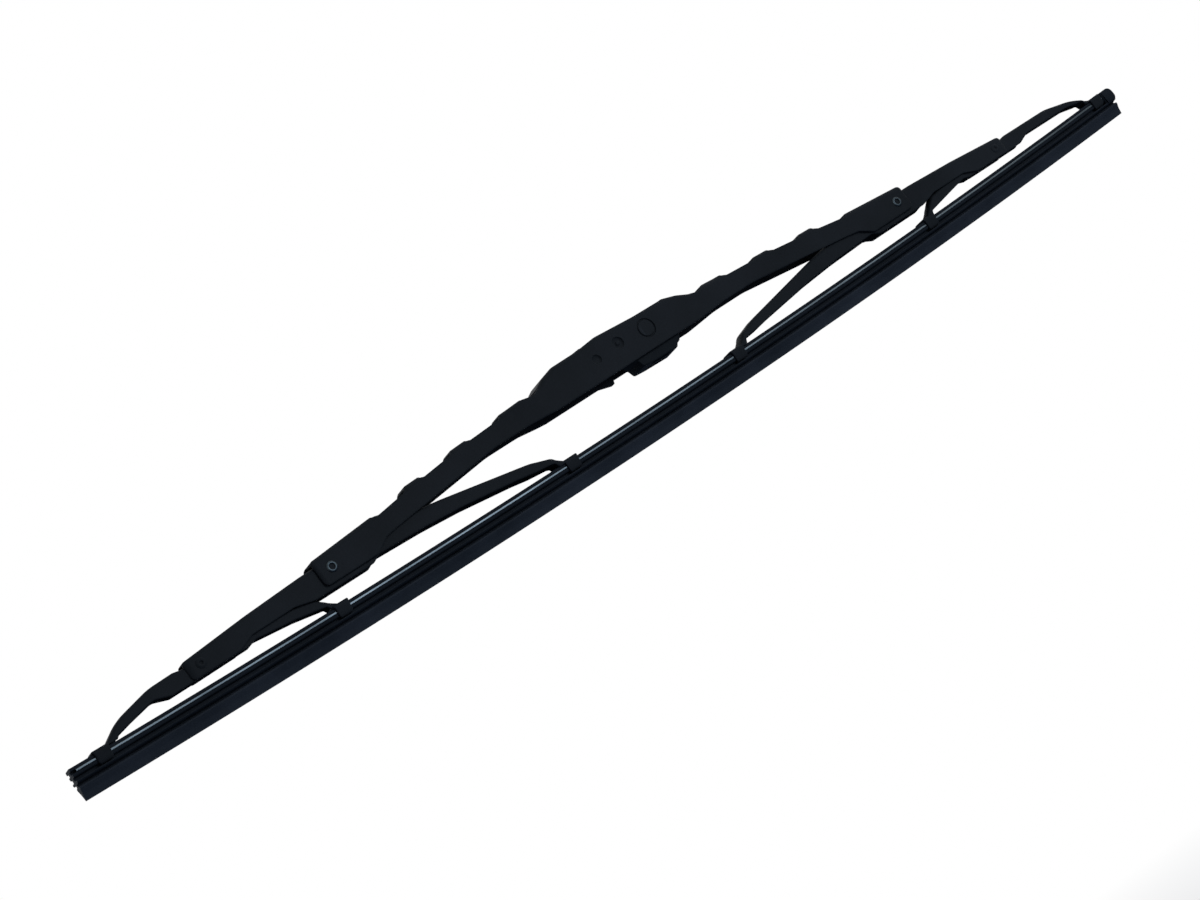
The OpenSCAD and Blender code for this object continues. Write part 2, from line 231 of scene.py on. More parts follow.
@dataclass
class Sheet:
    """A pressed sheet: points of its outer face, their outward directions, faces and thickness at each point."""

    points: list[Vector]
    outward: list[Vector]
    faces: list[list[int]]
    thickness: list[float]
    rim: float = 0.33

    def solid(self) -> tuple[list[Vector], list[list[int]]]:
        """Gives the sheet its inner face and rounded rims.

        Returns:
            The points and faces of a closed solid.
        """
        points, outward, thick, faces = self._welded()
        inner = [p - n * t for p, n, t in zip(points, outward, thick)]
        count = len(points)
        used = {(f[i], f[(i + 1) % len(f)]) for f in faces for i in range(len(f))}
        edges = [(a, b) for a, b in used if (b, a) not in used]
        push: dict[int, Vector] = {}
        for a, b in edges:
            along_edge = (points[b] - points[a]).normalized()
            for v in (a, b):
                push[v] = push.get(v, Vector()) + along_edge.cross(outward[v])
        all_points = points + inner
        rings: dict[int, list[int]] = {}
        for v, direction in push.items():
            direction = direction.normalized() if direction.length > 1e-9 else Vector((0, 0, 0))
            b = min(self.rim, 0.45 * thick[v])
            rings[v] = [v]
            for base, sign, angles in ((points[v], -1.0, (45, 90)), (inner[v], 1.0, (90, 45))):
                for angle in angles:
                    a = math.radians(angle)
                    rings[v].append(len(all_points))
                    all_points.append(base + direction * b * math.sin(a) + outward[v] * sign * b * (1 - math.cos(a)))
            rings[v].append(v + count)
        all_faces = faces + [[v + count for v in reversed(f)] for f in faces]
        for a, b in edges:
            for j in range(5):
                all_faces.append([rings[b][j], rings[a][j], rings[a][j + 1], rings[b][j + 1]])
        return all_points, all_faces

    def _welded(self) -> tuple[list[Vector], list[Vector], list[float], list[list[int]]]:
        """Joins points that lie on each other and drops faces with no area.

        Returns:
            The points, outward directions, thicknesses and faces that are left.
        """
        index: dict[tuple[int, int, int], int] = {}
        new_of: list[int] = []
        points: list[Vector] = []
        outward: list[Vector] = []
        thick: list[float] = []
        for p, n, t in zip(self.points, self.outward, self.thickness):
            key = (round(p.x * 2000), round(p.y * 2000), round(p.z * 2000))
            if key not in index:
                index[key] = len(points)
                points.append(p)
                outward.append(n)
                thick.append(t)
            new_of.append(index[key])
        faces = []
        for face in self.faces:
            loop: list[int] = []
            for v in (new_of[i] for i in face):
                if not loop or loop[-1] != v:
                    loop.append(v)
            if len(loop) > 1 and loop[0] == loop[-1]:
                loop.pop()
            if len(set(loop)) == len(loop) >= 3:
                faces.append(loop)
        return points, outward, thick, faces


def mesh_object(name: str, points: list[Vector], faces: list[list[int]], sharp: float = 50) -> bpy.types.Object:
    """Makes an object from points in millimetres.

    Args:
        name: Name of the piece.
        points: Points in millimetres.
        faces: Faces as lists of point numbers.
        sharp: Angle in degrees over which an edge is drawn sharp.

    Returns:
        The new object, at the origin.
    """
    mesh = bpy.data.meshes.new(name)
    mesh.from_pydata([(p.x * MM, p.y * MM, p.z * MM) for p in points], [], faces)
    mesh.validate()
    mesh.update()
    obj = bpy.data.objects.new(name, mesh)
    bpy.context.scene.collection.objects.link(obj)
    smooth(mesh, sharp)
    return obj


def smooth(mesh: bpy.types.Mesh, sharp: float) -> None:
    """Draws a mesh smooth, with edges over an angle in degrees kept sharp."""
    mesh.shade_smooth()
    mesh.set_sharp_from_angle(angle=math.radians(sharp))


def bake(obj: bpy.types.Object, sharp: float = 40) -> None:
    """Turns an object's modifiers into its own mesh.

    Args:
        obj: The object.
        sharp: Angle in degrees over which an edge is drawn sharp.
    """
    bpy.context.view_layer.update()
    graph = bpy.context.evaluated_depsgraph_get()
    mesh = bpy.data.meshes.new_from_object(obj.evaluated_get(graph))
    old = obj.data
    obj.modifiers.clear()
    obj.data = mesh
    bpy.data.meshes.remove(old)
    mesh.name = obj.name
    smooth(mesh, sharp)


def carve(obj: bpy.types.Object, tools: list[bpy.types.Object], sharp: float = 40) -> None:
    """Cuts shapes out of an object and removes them.

    Args:
        obj: The object to cut.
        tools: The shapes that cut it.
        sharp: Angle in degrees over which an edge is drawn sharp.
    """
    for tool in tools:
        cut = obj.modifiers.new("cut", "BOOLEAN")
        cut.operation = "DIFFERENCE"
        cut.solver = "EXACT"
        cut.object = tool
    bake(obj, sharp)
    for tool in tools:
        bpy.data.objects.remove(tool)


def joined(name: str, parts: list[tuple[list[Vector], list[list[int]]]], sharp: float = 50) -> bpy.types.Object:
    """Makes one object from several closed shells.

    Args:
        name: Name of the piece.
        parts: Points and faces of each shell.
        sharp: Angle in degrees over which an edge is drawn sharp.

    Returns:
        The object.
    """
    points: list[Vector] = []
    faces: list[list[int]] = []
    for part_points, part_faces in parts:
        start = len(points)
        points += part_points
        faces += [[v + start for v in f] for f in part_faces]
    return mesh_object(name, points, faces, sharp)


def lathe(profile: list[Point], x: float, z: float, segments: int = 48) -> tuple[list[Vector], list[list[int]]]:
    """Turns a profile about an axis along Y.

    Args:
        profile: Closed profile as (radius, y); points at radius 0 close it on the axis.
        x: Place of the axis.
        z: Height of the axis.
        segments: Number of steps round the axis.

    Returns:
        Points and faces of the turned solid.
    """
    points: list[Vector] = []
    rings: list[list[int]] = []
    for radius, y in profile:
        if radius < 1e-6:
            rings.append([len(points)] * segments)
            points.append(Vector((x, y, z)))
            continue
        rings.append(list(range(len(points), len(points) + segments)))
        for k in range(segments):
            a = 2 * math.pi * k / segments
            points.append(Vector((x + radius * math.cos(a), y, z + radius * math.sin(a))))
    faces = []
    for i in range(len(rings)):
        first, second = rings[i], rings[(i + 1) % len(rings)]
        for k in range(segments):
            loop = [first[k], first[(k + 1) % segments], second[(k + 1) % segments], second[k]]
            loop = [v for j, v in enumerate(loop) if v != loop[j - 1]]
            if len(set(loop)) == len(loop) >= 3:
                faces.append(loop)
    return points, faces


def arc(centre: Point, radius: float, start: float, end: float, steps: int) -> list[Point]:
    """Points of an arc.

    Args:
        centre: Centre of the arc.
        radius: Its radius.
        start: First angle in degrees.
        end: Last angle in degrees.
        steps: Number of chords.

    Returns:
        The points from the first angle to the last.
    """
    return [
        (
            centre[0] + radius * math.cos(math.radians(start + (end - start) * i / steps)),
            centre[1] + radius * math.sin(math.radians(start + (end - start) * i / steps)),
        )
        for i in range(steps + 1)
    ]


def slab(outline: list[Point], half: float, edge: float) -> tuple[list[Vector], list[list[int]]]:
    """Makes a plate from a side outline, with rounded edges.

    Args:
        outline: Closed outline as (x, z).
        half: Half of the plate's width along Y.
        edge: Radius of the rounded edges.

    Returns:
        Points and faces of the plate.
    """
    count = len(outline)
    area = sum(outline[i - 1][0] * outline[i][1] - outline[i][0] * outline[i - 1][1] for i in range(count))
    ring = outline if area > 0 else outline[::-1]
    normals = []
    for i in range(count):
        before, here, after = (Vector(ring[j % count]) for j in (i - 1, i, i + 1))
        a = (here - before).normalized() + (after - here).normalized()
        normals.append(Vector((a.y, -a.x)).normalized() if a.length > 1e-6 else Vector((0, 0)))
    levels: list[tuple[float, float]] = []
    for i in range(5):
        a = math.radians(90 - 22.5 * i)
        levels.append((-half + edge * (1 - math.sin(a)), edge * (1 - math.cos(a))))
    levels += [(-y, inset) for y, inset in reversed(levels)]
    points = [
        Vector((x - n.x * inset, y, z - n.y * inset)) for y, inset in levels for (x, z), n in zip(ring, normals)
    ]
    faces = [
        [j * count + i, j * count + (i + 1) % count, (j + 1) * count + (i + 1) % count, (j + 1) * count + i]
        for j in range(len(levels) - 1)
        for i in range(count)
    ]
    last = (len(levels) - 1) * count
    faces.append(list(range(count))[::-1])
    faces.append([last + i for i in range(count)])
    return points, faces


# Finishes


def linear(hex_colour: str) -> Colour:
    """Turns an sRGB hex colour to linear.

    Args:
        hex_colour: Colour such as "#1b1d1f".

    Returns:
        Red, green, blue and alpha, linear.
    """
    values = [int(hex_colour[i : i + 2], 16) / 255 for i in (1, 3, 5)]
    red, green, blue = (v / 12.92 if v <= 0.04045 else ((v + 0.055) / 1.055) ** 2.4 for v in values)
    return red, green, blue, 1.0


def add_node(
    tree: bpy.types.NodeTree,
    kind: str,
    values: dict[str | int, Any] | None = None,
    links: dict[str | int, bpy.types.NodeSocket] | None = None,
    **settings: Any,
) -> bpy.types.Node:
    """Adds a node with its settings, values and links.

    Args:
        tree: Node tree to add to.
        kind: Type of the node, without "ShaderNode".
        values: Input values by name or number.
        links: Sockets that feed inputs, by name or number.
        settings: Properties of the node.

    Returns:
        The new node.
    """
    node = tree.nodes.new("ShaderNode" + kind)
    for name, value in settings.items():
        setattr(node, name, value)
    for key, value in (values or {}).items():
        node.inputs[key].default_value = value
    for key, socket in (links or {}).items():
        tree.links.new(socket, node.inputs[key])
    return node


@dataclass(frozen=True)
class Finish:
    """A finish of one real material."""

    name: str
    colour: str
    second: str
    roughness: tuple[float, float]
    metallic: float = 0.0
    ior: float = 1.5
    specular: float = 0.5
    patch_mm: float = 30.0
    grain_mm: tuple[float, float, float] = (0.9, 0.9, 0.9)
    grain_depth_mm: float = 0.01
    edge: str | None = None

    def material(self) -> bpy.types.Material:
        """Builds the material.

        Returns:
            The material, with its colour, gloss and grain made by nodes.
        """
        material = bpy.data.materials.new(self.name)
        material.use_nodes = True
        tree = material.node_tree
        tree.nodes.clear()
        place = add_node(tree, "TexCoord").outputs["Object"]
        patches = add_node(
            tree, "TexNoise", {"Scale": 1 / (self.patch_mm * MM), "Detail": 5.0, "Roughness": 0.6}, {"Vector": place}
        ).outputs["Fac"]
        spread = add_node(tree, "MapRange", {"From Min": 0.3, "From Max": 0.7}, {"Value": patches}).outputs["Result"]
        colour = self.blended(tree, linear(self.colour), linear(self.second), spread)
        stretched = add_node(
            tree, "Mapping", {"Scale": tuple(1 / (g * MM) for g in self.grain_mm)}, {"Vector": place}
        ).outputs["Vector"]
        grain = add_node(
            tree, "TexNoise", {"Scale": 1.0, "Detail": 3.0, "Roughness": 0.55}, {"Vector": stretched}
        ).outputs["Fac"]
        if self.edge:
            bent = add_node(tree, "NewGeometry").outputs["Pointiness"]
            worn = add_node(
                tree, "MapRange", {"From Min": 0.53, "From Max": 0.62, "To Max": 0.6}, {"Value": bent}
            ).outputs["Result"]
            colour = self.blended(tree, colour, linear(self.edge), worn)
        mottle = add_node(tree, "Math", {2: 0.2}, {0: patches, 1: grain}, operation="MULTIPLY_ADD").outputs[0]
        gloss = add_node(
            tree,
            "MapRange",
            {"From Min": 0.25, "From Max": 0.75, "To Min": self.roughness[0], "To Max": self.roughness[1]},
            {"Value": mottle},
        ).outputs["Result"]
        bump = add_node(
            tree, "Bump", {"Strength": 0.6, "Distance": self.grain_depth_mm * MM}, {"Height": grain}
        ).outputs["Normal"]
        shader = add_node(
            tree,
            "BsdfPrincipled",
            {"Metallic": self.metallic, "IOR": self.ior, "Specular IOR Level": self.specular},
            {"Base Color": colour, "Roughness": gloss, "Normal": bump},
        )
        add_node(tree, "OutputMaterial", {}, {"Surface": shader.outputs["BSDF"]})
        return material

    @staticmethod
    def blended(
        tree: bpy.types.NodeTree, first: Colour | bpy.types.NodeSocket, second: Colour, share: bpy.types.NodeSocket
    ) -> bpy.types.NodeSocket:
        """Blends two colours.

        Args:
            tree: Node tree of the material.
            first: Colour, or the socket it comes from, where the share is 0.
            second: Colour where the share is 1.
            share: Socket of the second colour's share.

        Returns:
            The socket of the blended colour.
        """
        mix = add_node(tree, "Mix", {}, {"Factor": share}, data_type="RGBA")
        # A Mix node has sockets of the same name for each kind of data, so the colours' own are found by kind.
        first_in, second_in = (i for i in mix.inputs if i.type == "RGBA")
        if isinstance(first, bpy.types.NodeSocket):
            tree.links.new(first, first_in)
        else:
            first_in.default_value = first
        second_in.default_value = second
        return next(o for o in mix.outputs if o.type == "RGBA")


# Black polyester powder coat, baked on pressed steel: matt, with a faint orange peel about a millimetre across,
# a little greyer where hands and the arm rub its edges.
POWDER_COAT = Finish(
    name="powder_coated_steel",
    colour="#232526",
    second="#2b2d2f",
    roughness=(0.36, 0.5),
    specular=0.012,
    patch_mm=38.0,
    grain_mm=(0.9, 0.9, 0.9),
    grain_depth_mm=0.012,
    edge="#34373a",
)
# Zinc-plated steel of the hollow rivets, rolled over by a punch: dull and a little scuffed.
PLATED_STEEL = Finish(
    name="zinc_plated_steel",
    colour="#373f43",
    second="#272d31",
    roughness=(0.3, 0.5),
    metallic=1.0,
    patch_mm=1.5,
    grain_mm=(0.25, 0.25, 0.25),
    grain_depth_mm=0.006,
)
# Cold-rolled spring steel of the rails: drawn lines run along it, which stretch its shine lengthwise.
SPRING_STEEL = Finish(
    name="rolled_spring_steel",
    colour="#555d61",
    second="#3a4145",
    roughness=(0.28, 0.44),
    metallic=1.0,
    patch_mm=45.0,
    grain_mm=(18.0, 0.25, 0.25),
    grain_depth_mm=0.006,
)
# Acetal of the adapter and liners, moulded with a fine spark-eroded grain: black with hardly any sheen.
ACETAL = Finish(
    name="moulded_acetal",
    colour="#1e2123",
    second="#25282a",
    roughness=(0.4, 0.52),
    ior=1.48,
    specular=0.015,
    patch_mm=14.0,
    grain_mm=(0.45, 0.45, 0.45),
    grain_depth_mm=0.014,
)
# Carbon-black natural rubber of the strip's head and end stop, moulded in long pairs and cut apart: dull black,
# streaked lengthwise.
RUBBER = Finish(
    name="moulded_rubber",
    colour="#1a1e22",
    second="#22262b",
    roughness=(0.5, 0.68),
    ior=1.52,
    specular=0.03,
    patch_mm=26.0,
    grain_mm=(22.0, 0.5, 0.5),
    grain_depth_mm=0.02,
)
# The same rubber on the lip, where graphite is dusted on so that it glides: greyer, still streaked lengthwise.
DUSTED_RUBBER = replace(RUBBER, name="graphite_dusted_rubber", colour="#25292e", second="#33373d", specular=0.04)


# Pieces


@dataclass
class Channel:
    """A pressed U-channel, open downward, with its top sheet cut away in windows."""

    roof: Curve
    upper: Curve
    foot: Curve
    foot_far: Curve
    half_width: Curve
    start: float
    end: float
    thickness: float
    bend: float
    windows: list[tuple[float, float]] = field(default_factory=list)
    start_corners: tuple[float, float] = (0.0, 0.0)
    end_corners: tuple[float, float] = (0.0, 0.0)
    start_curl: tuple[float, float] = (0.0, 0.0)
    end_curl: tuple[float, float] = (0.0, 0.0)
    start_crown: tuple[float, float] = (0.0, 0.0)
    end_crown: tuple[float, float] = (0.0, 0.0)
    rim: float = 0.33
    wall_rows: int = 5
    bend_rows: int = 6
    roof_rows: int = 3

    def stations(self) -> list[float]:
        """Places of the cross-sections.

        Returns:
            The places in rising order, dense at corners and windows.
        """
        low, high = self.start, self.end
        step, closest = 2.0, 0.08
        places = {low, high}
        places.update(low + step * i for i in range(1, int((high - low) / step)))
        for curve in (self.upper, self.foot, self.foot_far, self.half_width, self.roof):
            places.update(x for x in curve.xs if low < x < high)
        for end, sign, radii in ((low, 1, self.start_corners), (high, -1, self.end_corners)):
            for radius in radii:
                if radius > 0:
                    places.update(end + sign * radius * (1 - math.cos(math.radians(a))) for a in range(10, 100, 10))
        for end, sign, (reach, _) in ((low, 1, self.start_curl), (high, -1, self.end_curl)):
            places.update(end + sign * reach * i / 7 for i in range(1, 8) if reach > 0)
        fixed: list[float] = [low, high]
        for x0, x1 in self.windows:
            for x, sign in ((x0, 1), (x1, -1)):
                fixed.append(x)
                places.update(x + sign * d for d in (0.12, 0.4, 0.8))
        ordered = sorted(places | set(fixed))
        kept: list[float] = []
        for x in ordered:
            if x in fixed:
                while kept and kept[-1] not in fixed and x - kept[-1] < closest:
                    kept.pop()
                kept.append(x)
            elif not kept or x - kept[-1] > closest:
                kept.append(x)
        return kept

    @staticmethod
    def _corner(x: float, end: float, radius: float) -> float:
        """How far a rounded corner of an end eats into the height at x."""
        inside = radius - abs(x - end)
        if radius <= 0 or inside <= 0:
            return 0.0
        return radius - math.sqrt(max(0.0, radius**2 - inside**2))

    def curled(self, x: float) -> float:
        """How far the walls curl inward at x, close to the ends.

        Args:
            x: Place along the blade.

        Returns:
            The distance in millimetres.
        """
        for end, (reach, inward) in ((self.start, self.start_curl), (self.end, self.end_curl)):
            if reach > 0 and abs(x - end) < reach:
                return inward * (1 - math.sqrt(1 - (1 - abs(x - end) / reach) ** 2))
        return 0.0

    def crown(self, x: float, bend: float) -> float:
        """How wide the bend between wall and top is at x; toward a foot it spreads over the top.

        Args:
            x: Place along the blade.
            bend: Height of the bend, and its width away from the feet.

        Returns:
            The width in millimetres.
        """
        for end, (reach, wide) in ((self.start, self.start_crown), (self.end, self.end_crown)):
            if reach > 0 and abs(x - end) < reach:
                share = 1 - abs(x - end) / reach
                return bend + max(0.0, wide - bend) * share * share * (3 - 2 * share)
        return bend

    def wall_shares(self, height: float) -> list[float]:
        """Rows of a wall as shares of its height, close together at both edges to keep it flat between them.

        Args:
            height: Height of the wall in millimetres.

        Returns:
            Rising shares from 0 to 1.
        """
        edge = min(0.2, 0.3 / max(height, 0.3))
        inner = self.wall_rows - 2
        return [0.0] + [edge + (1 - 2 * edge) * i / inner for i in range(inner + 1)] + [1.0]

    def section(self, x: float) -> tuple[list[tuple[Vector, Vector]], bool, float]:
        """One cross-section, from the near foot over the top to the far foot.

        Args:
            x: Place along the blade.

        Returns:
            Points with outward directions, whether the top sheet is there, and the sheet's thickness.
        """
        roof = self.roof.at(x)
        drop = self._corner(x, self.start, self.start_corners[0]) + self._corner(x, self.end, self.end_corners[0])
        lift = self._corner(x, self.start, self.start_corners[1]) + self._corner(x, self.end, self.end_corners[1])
        feet = [curve.at(x) + self.rim + lift for curve in (self.foot, self.foot_far)]
        height = max(0.3, roof - min(feet))
        bend = min(self.bend, 0.45 * height)
        thick = min(self.thickness, 0.5 * height)
        open_top = drop > 0.02 or any(x0 < x < x1 for x0, x1 in self.windows)
        cut = roof
        if drop > 0.02:
            cut = roof - drop
        elif open_top:
            cut = min(self.upper.at(x), roof) - self.rim
        cut = max(cut, max(feet) + 0.2)
        top_angle = math.pi / 2
        if open_top:
            top_angle = math.asin(max(0.0, min(1.0, 1 - (roof - cut) / bend)))
        wall_top = min(roof - bend, cut) if open_top else roof - bend
        curl = self.curled(x)
        thick = max(0.35, thick - 0.6 * curl)
        half = self.half_width.at(x) - curl
        steep = (self.curled(min(x + 0.05, self.end)) - self.curled(max(x - 0.05, self.start))) / 0.1
        wide, rise = self.half_width.slope(x) - max(-3.0, min(3.0, steep)), self.roof.slope(x)
        spread = self.crown(x, bend)
        row: list[tuple[Vector, Vector]] = []
        for side in (-1, 1):
            foot = feet[0] if side < 0 else feet[1]
            part: list[tuple[Vector, Vector]] = []
            for share in self.wall_shares(wall_top - foot):
                z = foot + (wall_top - foot) * share
                part.append((Vector((x, side * half, z)), Vector((-wide, side, 0)).normalized()))
            for k in range(1, self.bend_rows + 1):
                a = top_angle * k / self.bend_rows
                y = half - spread * (1 - math.cos(a))
                z = (roof - bend if wall_top > roof - bend - 1e-6 else wall_top) + bend * math.sin(a)
                across, upward = bend * math.cos(a), spread * math.sin(a)
                normal = Vector((-(wide * across + rise * upward), side * across, upward))
                part.append((Vector((x, side * y, z)), normal.normalized()))
            up = Vector((-rise, 0, 1)).normalized()
            flat = part[-1][0]
            for k in range(1, self.roof_rows + 1):
                y = (half - spread) * (1 - k / self.roof_rows)
                part.append((Vector((x, side * y, roof)) if not open_top else flat, up))
            row += part if side < 0 else part[::-1][1:]
        return row, not open_top, thick

    def solid(self) -> tuple[list[Vector], list[list[int]]]:
        """Points and faces of the pressed channel."""
        points: list[Vector] = []
        outward: list[Vector] = []
        thickness: list[float] = []
        closed: list[bool] = []
        width = 0
        for x in self.stations():
            row, full, thick = self.section(x)
            width = len(row)
            points += [p for p, _ in row]
            outward += [n for _, n in row]
            thickness += [thick] * width
            closed.append(full)
        faces = []
        edge = self.wall_rows + self.bend_rows
        for i in range(len(closed) - 1):
            for k in range(width - 1):
                if edge <= k < width - 1 - edge and not (closed[i] and closed[i + 1]):
                    continue
                faces.append([i * width + k, (i + 1) * width + k, (i + 1) * width + k + 1, i * width + k + 1])
        return Sheet(points, outward, faces, thickness, self.rim).solid()


@dataclass
class Claw:
    """One claw: a strip of sheet bent round the head of the rubber, with tips that tuck under it."""

    x: float
    thickness: float = 0.85
    outer: float = 3.9
    lean: float = 0.45
    top: float = 0.95
    depth: float = 4.4
    tip: float = 1.9
    half_foot: float = 3.45
    half_jaw: float = 2.9

    def solid(self) -> tuple[list[Vector], list[list[int]]]:
        """Points and faces of the claw, turned to lie along the strip."""
        # Radii of the bends beside the tips and beside the top.
        low, high = 1.3, 1.1
        centre = self.outer - self.lean - low
        half: list[tuple[Point, Point, float]] = []
        half.append(((self.tip + 0.3, -self.depth), (0, -1), self.half_jaw - 0.5))
        for y, z in arc((centre, low - self.depth), low, -90, -8, 5):
            normal = ((y - centre) / low, (z - low + self.depth) / low)
            half.append(((y, z), normal, self.half_jaw - 0.25 if z < low / 2 - self.depth else self.half_jaw))
        for share in (0.35, 0.7):
            z = (low - self.depth) * (1 - share) + (self.top - high) * share
            half.append(((self.outer - self.lean * (1 - share), z), (0.99, -0.14), self.half_jaw + 0.1 * share))
        for y, z in arc((self.outer - high, self.top - high), high, 0, 90, 5):
            normal = ((y - self.outer + high) / high, (z - self.top + high) / high)
            half.append(((y, z), normal, self.half_jaw + 0.15 + 0.35 * max(0.0, normal[1])))
        for y in (1.6, 0.0):
            half.append(((y, self.top), (0, 1), self.half_foot))
        near = [((-y, z), (-ny, nz), h) for (y, z), (ny, nz), h in half]
        profile = near + half[::-1][1:]
        shares = (-1.0, -0.85, -0.5, 0.0, 0.5, 0.85, 1.0)
        turn = Matrix.Rotation(-math.asin(self.x / HEEL_RADIUS), 3, "Y")
        base = Vector((self.x, 0, heel_z(self.x)))
        points, outward = [], []
        for share in shares:
            for (y, z), (ny, nz), reach in profile:
                points.append(base + turn @ Vector((share * (reach - 0.3), y, z)))
                outward.append(turn @ Vector((0, ny, nz)))
        width = len(profile)
        faces = [
            [i * width + k, (i + 1) * width + k, (i + 1) * width + k + 1, i * width + k + 1]
            for i in range(len(shares) - 1)
            for k in range(width - 1)
        ]
        return Sheet(points, outward, faces, [self.thickness] * len(points), 0.3).solid()


@dataclass
class Bridge:
    """The main bridge with its raised hump, its windows and the marks pressed in the hump."""

    width: float = 11.4
    hump_width: float = 15.0
    thickness: float = 1.1
    bend: float = 2.2
    hump_bottom: float = -9.3
    end: float = 142.2
    hook_window: tuple[float, float] = (-13.0, 25.4)
    mark_depth: float = 0.75
    mark_tilt: float = 0.08
    dimple: Point = (-10.9, -1.1)
    ring: Point = (13.1, -0.9)

    def outline(self) -> list[Corner]:
        """Upper edge of the bridge from the left end to the right."""
        arm: list[Corner] = [
            (39.5, 0.3, 2.5), (44, 2.1, 1.5), (53.2, 1.75, 1), (55.1, 0.2, 1.5), (68.3, -0.5, 1.5),
            (69.9, 0.5, 0.8), (76.2, 0.2, 1), (78.2, -1.4, 1.5), (90.6, -2.8, 1.5), (92, -1.6, 0.8),
            (97.9, -1.8, 1.2), (100, -3.85, 2), (112.2, -5.65, 1.5), (114.8, -4.6, 1), (142.3, -6.7, 0),
        ]
        hump: list[Corner] = [
            (-32.7, 4.15, 6), (-26.8, 6, 6), (-16.5, 6.1, 3), (-6, 7.25, 12), (12, 6.05, 20), (26, 5.8, 7),
            (31.8, 4.05, 8),
        ]
        return mirrored(arm) + hump + arm

    def lower(self, lug: bool) -> list[Corner]:
        """Lower edge of one wall from left to right.

        Args:
            lug: Whether the wall carries the small lug under the hump.

        Returns:
            The corners of the edge.
        """
        right: list[Corner] = [
            (34.5, self.hump_bottom, 6), (47.5, -8.1, 12), (62.5, -8.05, 40), (109, -13.2, 8), (114.2, -14, 4),
            (120.3, -17.65, 3), (142.3, -17.55, 0),
        ]
        middle: list[Corner] = []
        if lug:
            low = self.hump_bottom
            middle = [(-9.9, low, 0.5), (-4.4, low - 1.5, 0.6), (-3.2, low - 1.3, 0.3), (-2.8, low, 0.3)]
        return mirrored(right) + middle + right

    def channel(self) -> Channel:
        """The channel that the bridge is pressed to."""
        upper = Curve.from_corners(self.outline())
        windows = [(36.5, 43.7), (53.9, 69.2), (77, 91.3), (98.9, 114.2)]
        spans = sorted([(-b, -a) for a, b in windows] + [self.hook_window] + windows)
        real = [(a * STRETCH - 0.3, b * STRETCH + 0.3) for a, b in spans]
        roof: list[Point] = []
        for x, z in zip(upper.xs, upper.values):
            if not any(a <= x <= b for a, b in real if not a < 0 < b):
                roof.append((x, z))
        for a, b in real:
            if not a < 0 < b:
                roof += [(a, upper.at(a)), (b, upper.at(b))]
        slim, wide = self.width / 2, self.hump_width / 2
        plan: list[Corner] = [
            (-150, slim, 0), (-50, slim, 14), (-39, wide, 14), (39, wide, 14), (50, slim, 14), (150, slim, 0),
        ]
        return Channel(
            roof=Curve(sorted(roof)),
            upper=upper,
            foot=Curve.from_corners(self.lower(False)),
            foot_far=Curve.from_corners(self.lower(True)),
            half_width=Curve.from_corners(plan, steps=10),
            start=-self.end * STRETCH + 0.3,
            end=self.end * STRETCH - 0.3,
            thickness=self.thickness,
            bend=self.bend,
            windows=real,
            start_corners=(1.8, 2.2),
            end_corners=(1.8, 2.2),
            start_curl=(1.7, 0.9),
            end_curl=(1.7, 0.9),
        )

    def build(self) -> bpy.types.Object:
        """Builds the bridge and presses its marks."""
        bridge = mesh_object("bridge_pressing", *self.channel().solid())
        wall = self.hump_width / 2
        dimple_x = self.dimple[0] * STRETCH
        tools = []
        for side in (-1, 1):
            deep = side * (wall - self.mark_depth)
            out = side * (wall + 1)
            recess: list[Point] = [
                (0, deep), (1.5, deep), (2.05, deep + side * 0.15), (2.4, deep + side * 0.5), (2.6, side * wall),
                (2.7, out), (0, out),
            ]
            dish: list[Point] = [
                (0, deep), (0.9, deep + side * 0.04), (1.6, deep + side * 0.2), (2.1, side * wall), (2.2, out),
                (0, out),
            ]
            pin_tool = lathe(recess, 0, 0)
            dimple_tool = lathe(dish, dimple_x, self.dimple[1])
            for (points, _), place in ((pin_tool, 0.0), (dimple_tool, dimple_x)):
                for p in points:
                    p.y -= side * self.mark_tilt * (p.x - place + 0.4 * p.z)
            tools += [mesh_object("pin_recess", *pin_tool), mesh_object("dimple", *dimple_tool)]
        groove: list[Point] = [
            (3.2, -wall - 0.5), (3.2, -wall), (3.5, 0.48 - wall), (3.85, 0.52 - wall), (4.05, -wall),
            (4.1, -wall - 0.5),
        ]
        tools.append(mesh_object("pressed_ring", *lathe(groove, self.ring[0] * STRETCH, self.ring[1], 64)))
        for tool in tools:
            flip_if_inside_out(tool)
        carve(bridge, tools)
        return bridge


def flip_if_inside_out(obj: bpy.types.Object) -> None:
    """Turns a closed mesh's faces outward."""
    volume = 0.0
    for face in obj.data.polygons:
        corners = [obj.data.vertices[v].co for v in face.vertices]
        for i in range(1, len(corners) - 1):
            volume += corners[0].dot(corners[i].cross(corners[i + 1]))
    if volume < 0:
        obj.data.flip_normals()


